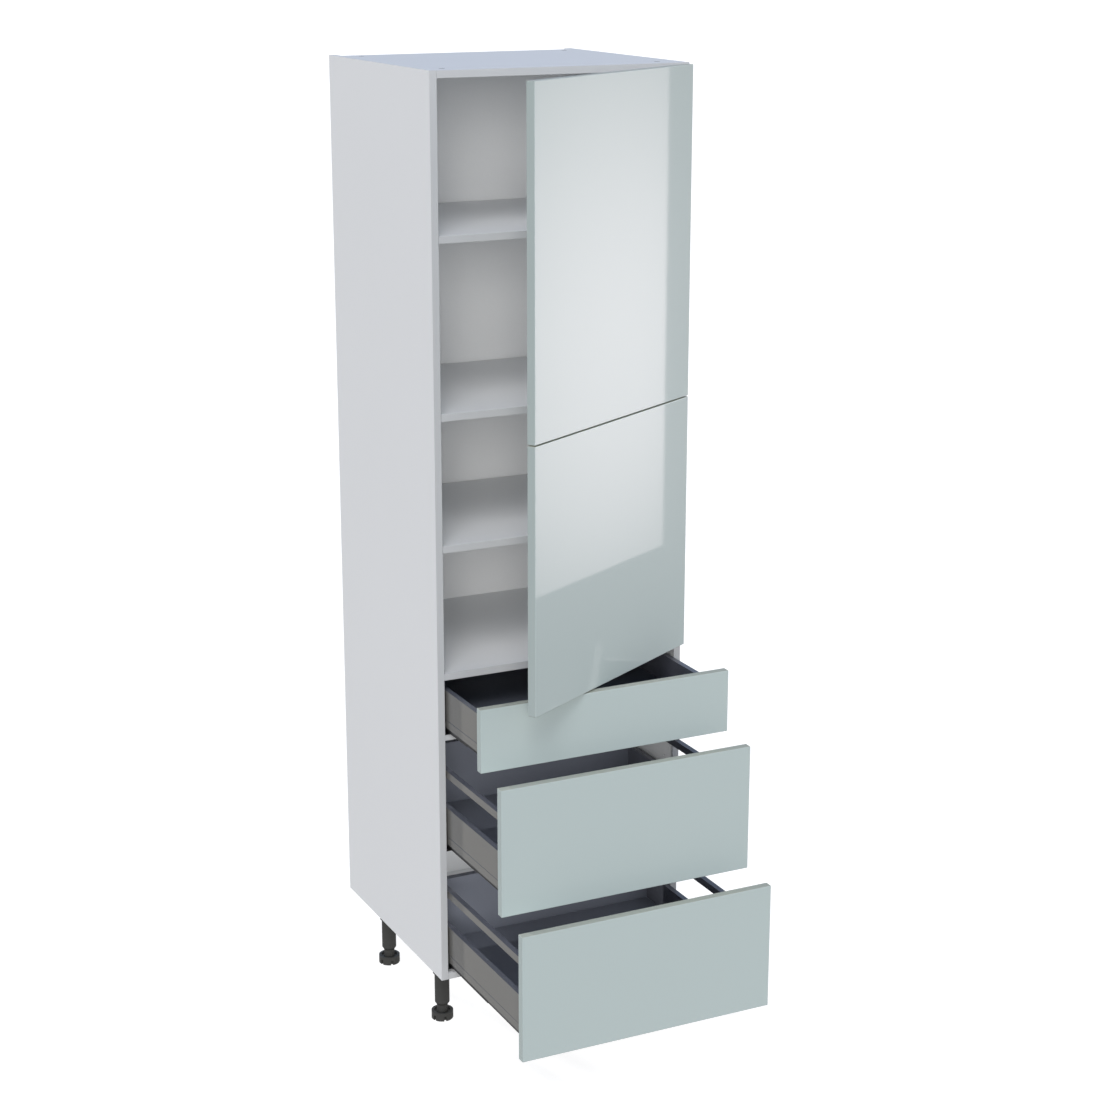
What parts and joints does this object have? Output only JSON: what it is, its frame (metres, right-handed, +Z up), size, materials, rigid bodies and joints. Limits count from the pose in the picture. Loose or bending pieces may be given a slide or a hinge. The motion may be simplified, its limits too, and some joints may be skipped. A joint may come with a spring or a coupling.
{
  "type": "pantry cabinet",
  "caption": "Tall free-standing pantry cabinet with shelves behind hinged doors on the right, pull-out drawers below and plastic levelling legs.",
  "frame": {"origin": "on the floor under the centre of the carcass, with the levelling feet screwed in", "axes": "+Z up, -Y out of the front where the doors and drawers open, +X to the right seen from the front"},
  "size_m": [0.6, 0.988, 2.142],
  "materials": {
    "carcass_board": "white melamine foil on particle board",
    "front_lacquer": "pale grey green high gloss lacquer on fibreboard",
    "drawer_board": "dark grey foil on particle board",
    "beech": "bare",
    "drawer_metal": "grey powder coat",
    "runner_steel": "black",
    "hinge_steel": "nickel plated",
    "leg_plastic": "black, fine texture"
  },
  "bodies": {
    "carcass": {"side_panel_left": "carcass_board", "side_panel_right": "carcass_board", "top_panel": "carcass_board", "bottom_panel": "carcass_board", "fixed_shelf": "carcass_board", "back_panel": "carcass_board", "front_crossbar": "carcass_board", "shelf_upper": "carcass_board", "shelf_middle": "carcass_board", "shelf_lower": "carcass_board", "shelf_pins": "hinge_steel", "cam_locks": "hinge_steel", "cam_bolts": "hinge_steel", "dowels": "beech", "leg_sockets": "leg_plastic", "leg_tubes": "leg_plastic", "leg_screws": "hinge_steel", "hinge_arms": "hinge_steel", "hinge_plates": "hinge_steel", "hinge_screws": "hinge_steel", "runner_fixed_members": "runner_steel"},
    "upper_door": {"upper_door_panel": "front_lacquer", "upper_door_hinge_cups": "hinge_steel", "upper_door_cup_screws": "hinge_steel"},
    "lower_door": {"lower_door_panel": "front_lacquer", "lower_door_hinge_cups": "hinge_steel", "lower_door_cup_screws": "hinge_steel"},
    "drawer_top": {"drawer_top_front": "front_lacquer", "drawer_top_base": "drawer_board", "drawer_top_back": "drawer_board", "drawer_top_side_left": "drawer_metal", "drawer_top_side_right": "drawer_metal", "drawer_top_brackets": "drawer_metal", "drawer_top_screws": "hinge_steel", "runner_top_inner": "runner_steel"},
    "runner_top": {"runner_top_middle": "runner_steel"},
    "drawer_middle": {"drawer_middle_front": "front_lacquer", "drawer_middle_base": "drawer_board", "drawer_middle_back": "drawer_board", "drawer_middle_side_left": "drawer_metal", "drawer_middle_side_right": "drawer_metal", "drawer_middle_brackets": "drawer_metal", "drawer_middle_screws": "hinge_steel", "drawer_middle_rails": "drawer_metal", "runner_middle_inner": "runner_steel"},
    "runner_middle": {"runner_middle_middle": "runner_steel"},
    "drawer_bottom": {"drawer_bottom_front": "front_lacquer", "drawer_bottom_base": "drawer_board", "drawer_bottom_back": "drawer_board", "drawer_bottom_side_left": "drawer_metal", "drawer_bottom_side_right": "drawer_metal", "drawer_bottom_brackets": "drawer_metal", "drawer_bottom_screws": "hinge_steel", "drawer_bottom_rails": "drawer_metal", "runner_bottom_inner": "runner_steel"},
    "runner_bottom": {"runner_bottom_middle": "runner_steel"},
    "foot_front_left": {"foot_front_left": "leg_plastic"},
    "foot_front_right": {"foot_front_right": "leg_plastic"},
    "foot_rear_left": {"foot_rear_left": "leg_plastic"},
    "foot_rear_right": {"foot_rear_right": "leg_plastic"}
  },
  "joints": [
    {"name": "upper_door_hinge", "type": "hinge", "parent": "carcass", "child": "upper_door", "pos_m": [0.2985, -0.304, 0], "axis": [0, 0, 1], "range_deg": [-30, 80]},
    {"name": "lower_door_hinge", "type": "hinge", "parent": "carcass", "child": "lower_door", "pos_m": [0.2985, -0.304, 0], "axis": [0, 0, 1], "range_deg": [-30, 80]},
    {"name": "drawer_top_slide", "type": "slide", "parent": "carcass", "child": "drawer_top", "axis": [0, -1, 0], "range_m": [-0.2, 0.24]},
    {"name": "runner_top_slide", "type": "slide", "parent": "carcass", "child": "runner_top", "axis": [0, -1, 0], "range_m": [-0.1, 0.12]},
    {"name": "drawer_middle_slide", "type": "slide", "parent": "carcass", "child": "drawer_middle", "axis": [0, -1, 0], "range_m": [-0.3, 0.14]},
    {"name": "runner_middle_slide", "type": "slide", "parent": "carcass", "child": "runner_middle", "axis": [0, -1, 0], "range_m": [-0.15, 0.07]},
    {"name": "drawer_bottom_slide", "type": "slide", "parent": "carcass", "child": "drawer_bottom", "axis": [0, -1, 0], "range_m": [-0.4, 0.04]},
    {"name": "runner_bottom_slide", "type": "slide", "parent": "carcass", "child": "runner_bottom", "axis": [0, -1, 0], "range_m": [-0.2, 0.02]},
    {"name": "foot_front_left_turn", "type": "hinge", "parent": "carcass", "child": "foot_front_left", "pos_m": [-0.265, -0.202, 0.05], "axis": [0, 0, 1], "continuous": true},
    {"name": "foot_front_right_turn", "type": "hinge", "parent": "carcass", "child": "foot_front_right", "pos_m": [0.265, -0.202, 0.05], "axis": [0, 0, 1], "continuous": true},
    {"name": "foot_rear_left_turn", "type": "hinge", "parent": "carcass", "child": "foot_rear_left", "pos_m": [-0.265, 0.12, 0.05], "axis": [0, 0, 1], "continuous": true},
    {"name": "foot_rear_right_turn", "type": "hinge", "parent": "carcass", "child": "foot_rear_right", "pos_m": [0.265, 0.12, 0.05], "axis": [0, 0, 1], "continuous": true}
  ],
  "couplings": [
    {"joint": "runner_top_slide", "follows": "drawer_top_slide", "ratio": 0.5},
    {"joint": "runner_middle_slide", "follows": "drawer_middle_slide", "ratio": 0.5},
    {"joint": "runner_bottom_slide", "follows": "drawer_bottom_slide", "ratio": 0.5}
  ]
}
